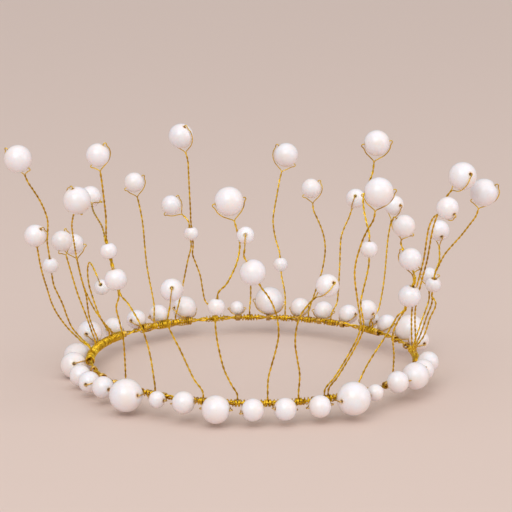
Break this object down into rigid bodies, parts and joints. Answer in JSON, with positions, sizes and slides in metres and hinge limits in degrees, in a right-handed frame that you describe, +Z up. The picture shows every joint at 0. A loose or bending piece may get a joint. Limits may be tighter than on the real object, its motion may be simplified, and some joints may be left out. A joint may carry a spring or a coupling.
{
  "type": "crown",
  "caption": "Circlet of twisted gilt wire that carries a band of pearls and a ring of upright wire stems with a pearl on each tip.",
  "frame": {"origin": "middle of the wire ring, on the plane of the ring, where the crown sits on the head", "axes": "+Z up out of the head, front of the crown faces -Y, +X towards the right of someone looking at the front"},
  "size_m": [0.1775, 0.15, 0.1005],
  "materials": {
    "gilt_wire": "polished gilt wire",
    "tie_wire": "dark gilt wire, wound",
    "pearl": "pearl lacquer, soft gloss"
  },
  "bodies": {
    "frame": {"ring_wire_outer": "gilt_wire", "ring_wire_inner": "gilt_wire", "band_ties": "tie_wire", "root_windings": "gilt_wire", "band_pearls_6mm": "pearl", "band_pearls_8mm": "pearl", "band_pearls_10mm": "pearl", "band_pearls_12mm": "pearl", "stems_front_left": "gilt_wire", "stems_front_middle": "gilt_wire", "stems_front_right": "gilt_wire", "stems_right_front": "gilt_wire", "stems_right_trunk": "gilt_wire", "stems_right_fork": "gilt_wire", "stems_back_left": "gilt_wire", "stems_back_middle": "gilt_wire", "stems_back_right": "gilt_wire", "stems_left_outer": "gilt_wire", "stems_left_inner": "gilt_wire", "shared_pearls_6mm": "pearl", "shared_pearls_8mm": "pearl"},
    "threaded_front_tall": {"threaded_front_tall": "pearl"},
    "threaded_front_middle": {"threaded_front_middle": "pearl"},
    "threaded_front_right": {"threaded_front_right": "pearl"},
    "threaded_back_middle": {"threaded_back_middle": "pearl"},
    "threaded_left_outer": {"threaded_left_outer": "pearl"},
    "pearl_front_left_low": {"pearl_front_left_low": "pearl"},
    "pearl_front_left_tall": {"pearl_front_left_tall": "pearl"},
    "pearl_front_left_inner": {"pearl_front_left_inner": "pearl"},
    "pearl_front_tall": {"pearl_front_tall": "pearl"},
    "pearl_front_middle": {"pearl_front_middle": "pearl"},
    "pearl_front_right_low": {"pearl_front_right_low": "pearl"},
    "pearl_front_right_wide": {"pearl_front_right_wide": "pearl"},
    "pearl_front_right_tall": {"pearl_front_right_tall": "pearl"},
    "pearl_right_front_low": {"pearl_right_front_low": "pearl"},
    "pearl_right_front_tall": {"pearl_right_front_tall": "pearl"},
    "pearl_right_trunk_low": {"pearl_right_trunk_low": "pearl"},
    "pearl_right_trunk_tall": {"pearl_right_trunk_tall": "pearl"},
    "pearl_right_fork_wide": {"pearl_right_fork_wide": "pearl"},
    "pearl_right_fork_inner": {"pearl_right_fork_inner": "pearl"},
    "pearl_right_fork_low": {"pearl_right_fork_low": "pearl"},
    "pearl_back_left_single": {"pearl_back_left_single": "pearl"},
    "pearl_back_left_low": {"pearl_back_left_low": "pearl"},
    "pearl_back_left_tall": {"pearl_back_left_tall": "pearl"},
    "pearl_back_middle_low": {"pearl_back_middle_low": "pearl"},
    "pearl_back_middle_tall": {"pearl_back_middle_tall": "pearl"},
    "pearl_back_right_inner": {"pearl_back_right_inner": "pearl"},
    "pearl_back_right_middle": {"pearl_back_right_middle": "pearl"},
    "pearl_back_right_outer": {"pearl_back_right_outer": "pearl"},
    "pearl_back_right_bud": {"pearl_back_right_bud": "pearl"},
    "pearl_left_outer_tall": {"pearl_left_outer_tall": "pearl"},
    "pearl_left_outer_low": {"pearl_left_outer_low": "pearl"},
    "pearl_left_inner_low": {"pearl_left_inner_low": "pearl"},
    "pearl_left_inner_tall": {"pearl_left_inner_tall": "pearl"},
    "pearl_left_inner_back": {"pearl_left_inner_back": "pearl"},
    "pearl_left_inner_drop": {"pearl_left_inner_drop": "pearl"}
  },
  "joints": [
    {"name": "threaded_front_tall_spin", "type": "hinge", "parent": "frame", "child": "threaded_front_tall", "pos_m": [-0.0124, -0.06381, 0.035], "axis": [0.0977, -0.019, 0.995], "continuous": true},
    {"name": "threaded_front_middle_spin", "type": "hinge", "parent": "frame", "child": "threaded_front_middle", "pos_m": [0, -0.068, 0.048], "axis": [-0.4819, 0, 0.8762], "continuous": true},
    {"name": "threaded_front_right_spin", "type": "hinge", "parent": "frame", "child": "threaded_front_right", "pos_m": [0.04032, -0.05351, 0.053], "axis": [0, 0, 1], "continuous": true},
    {"name": "threaded_back_middle_spin", "type": "hinge", "parent": "frame", "child": "threaded_back_middle", "pos_m": [0.01129, 0.06401, 0.022], "axis": [-0.0803, 0.1147, 0.9901], "continuous": true},
    {"name": "threaded_left_outer_spin", "type": "hinge", "parent": "frame", "child": "threaded_left_outer", "pos_m": [-0.07571, -0.00662, 0.037], "axis": [-0.0802, -0.2029, 0.9759], "continuous": true},
    {"name": "pearl_front_left_low_spin", "type": "hinge", "parent": "frame", "child": "pearl_front_left_low", "pos_m": [-0.05988, -0.01164, 0.064], "axis": [-0.9131, 0.1189, 0.3901], "continuous": true},
    {"name": "pearl_front_left_tall_spin", "type": "hinge", "parent": "frame", "child": "pearl_front_left_tall", "pos_m": [-0.05248, -0.06038, 0.087], "axis": [0.5162, 0.0006, 0.8565], "continuous": true},
    {"name": "pearl_front_left_inner_spin", "type": "hinge", "parent": "frame", "child": "pearl_front_left_inner", "pos_m": [-0.02789, -0.05982, 0.04], "axis": [0.0474, -0.9278, 0.3701], "continuous": true},
    {"name": "pearl_front_tall_spin", "type": "hinge", "parent": "frame", "child": "pearl_front_tall", "pos_m": [-0.00804, -0.06551, 0.072], "axis": [-0.9552, -0.2336, -0.1816], "continuous": true},
    {"name": "pearl_front_middle_spin", "type": "hinge", "parent": "frame", "child": "pearl_front_middle", "pos_m": [-0.00241, -0.06896, 0.061], "axis": [-0.0189, -0.974, 0.226], "continuous": true},
    {"name": "pearl_front_right_low_spin", "type": "hinge", "parent": "frame", "child": "pearl_front_right_low", "pos_m": [0.02544, -0.06628, 0.043], "axis": [0.5357, -0.7408, 0.4051], "continuous": true},
    {"name": "pearl_front_right_wide_spin", "type": "hinge", "parent": "frame", "child": "pearl_front_right_wide", "pos_m": [0.04223, -0.07029, 0.076], "axis": [0.9901, 0.052, 0.1306], "continuous": true},
    {"name": "pearl_front_right_tall_spin", "type": "hinge", "parent": "frame", "child": "pearl_front_right_tall", "pos_m": [0.04297, -0.04607, 0.089], "axis": [0.9907, 0.0462, 0.1279], "continuous": true},
    {"name": "pearl_right_front_low_spin", "type": "hinge", "parent": "frame", "child": "pearl_right_front_low", "pos_m": [0.05485, -0.05115, 0.049], "axis": [-0.6931, 0.1074, 0.7128], "continuous": true},
    {"name": "pearl_right_front_tall_spin", "type": "hinge", "parent": "frame", "child": "pearl_right_front_tall", "pos_m": [0.05276, -0.04751, 0.06], "axis": [-0.7212, -0.0634, 0.6898], "continuous": true},
    {"name": "pearl_right_trunk_low_spin", "type": "hinge", "parent": "frame", "child": "pearl_right_trunk_low", "pos_m": [0.06798, -0.04585, 0.066], "axis": [0.533, -0.721, -0.4428], "continuous": true},
    {"name": "pearl_right_trunk_tall_spin", "type": "hinge", "parent": "frame", "child": "pearl_right_trunk_tall", "pos_m": [0.07395, -0.03768, 0.076], "axis": [0.4636, -0.841, 0.2789], "continuous": true},
    {"name": "pearl_right_fork_wide_spin", "type": "hinge", "parent": "frame", "child": "pearl_right_fork_wide", "pos_m": [0.0832, -0.02544, 0.068], "axis": [0.7874, -0.2497, 0.5637], "continuous": true},
    {"name": "pearl_right_fork_inner_spin", "type": "hinge", "parent": "frame", "child": "pearl_right_fork_inner", "pos_m": [0.07, 0, 0.049], "axis": [-0.1772, 0.8719, 0.4565], "continuous": true},
    {"name": "pearl_right_fork_low_spin", "type": "hinge", "parent": "frame", "child": "pearl_right_fork_low", "pos_m": [0.06749, 0.00829, 0.03], "axis": [1, 0, 0], "continuous": true},
    {"name": "pearl_back_left_single_spin", "type": "hinge", "parent": "frame", "child": "pearl_back_left_single", "pos_m": [-0.04793, 0.04963, 0.059], "axis": [0.7995, 0.1287, 0.5866], "continuous": true},
    {"name": "pearl_back_left_low_spin", "type": "hinge", "parent": "frame", "child": "pearl_back_left_low", "pos_m": [-0.03338, 0.05343, 0.049], "axis": [0.5765, 0.1761, 0.7979], "continuous": true},
    {"name": "pearl_back_left_tall_spin", "type": "hinge", "parent": "frame", "child": "pearl_back_left_tall", "pos_m": [-0.02884, 0.048, 0.078], "axis": [0.3349, -0.4718, 0.8156], "continuous": true},
    {"name": "pearl_back_middle_low_spin", "type": "hinge", "parent": "frame", "child": "pearl_back_middle_low", "pos_m": [-0.0011, 0.06299, 0.019], "axis": [0.9998, 0.0174, 0], "continuous": true},
    {"name": "pearl_back_middle_tall_spin", "type": "hinge", "parent": "frame", "child": "pearl_back_middle_tall", "pos_m": [0.01355, 0.06969, 0.067], "axis": [-0.6489, 0.0551, 0.7589], "continuous": true},
    {"name": "pearl_back_right_inner_spin", "type": "hinge", "parent": "frame", "child": "pearl_back_right_inner", "pos_m": [0.0236, 0.05841, 0.055], "axis": [0.7261, 0.0439, 0.6862], "continuous": true},
    {"name": "pearl_back_right_middle_spin", "type": "hinge", "parent": "frame", "child": "pearl_back_right_middle", "pos_m": [0.04173, 0.05744, 0.051], "axis": [-0.1022, -0.9057, 0.4113], "continuous": true},
    {"name": "pearl_back_right_outer_spin", "type": "hinge", "parent": "frame", "child": "pearl_back_right_outer", "pos_m": [0.05669, 0.04757, 0.05], "axis": [0.5924, -0.7999, 0.0956], "continuous": true},
    {"name": "pearl_back_right_bud_spin", "type": "hinge", "parent": "frame", "child": "pearl_back_right_bud", "pos_m": [0.04552, 0.0343, 0.01], "axis": [0.5738, -0.7614, -0.3018], "continuous": true},
    {"name": "pearl_left_outer_tall_spin", "type": "hinge", "parent": "frame", "child": "pearl_left_outer_tall", "pos_m": [-0.08363, -0.03044, 0.081], "axis": [-0.7419, 0.0471, 0.6688], "continuous": true},
    {"name": "pearl_left_outer_low_spin", "type": "hinge", "parent": "frame", "child": "pearl_left_outer_low", "pos_m": [-0.07765, -0.03457, 0.054], "axis": [0.6117, -0.3944, 0.6857], "continuous": true},
    {"name": "pearl_left_inner_low_spin", "type": "hinge", "parent": "frame", "child": "pearl_left_inner_low", "pos_m": [-0.072, 0, 0.045], "axis": [0.2437, 0.2681, 0.9321], "continuous": true},
    {"name": "pearl_left_inner_tall_spin", "type": "hinge", "parent": "frame", "child": "pearl_left_inner_tall", "pos_m": [-0.06292, -0.03069, 0.066], "axis": [-0.2831, -0.2429, 0.9278], "continuous": true},
    {"name": "pearl_left_inner_back_spin", "type": "hinge", "parent": "frame", "child": "pearl_left_inner_back", "pos_m": [-0.06955, 0.01863, 0.04], "axis": [-0.998, 0.0029, 0.0633], "continuous": true},
    {"name": "pearl_left_inner_drop_spin", "type": "hinge", "parent": "frame", "child": "pearl_left_inner_drop", "pos_m": [-0.05778, 0.00505, 0.026], "axis": [-0.0735, -0.8396, 0.5382], "continuous": true}
  ]
}
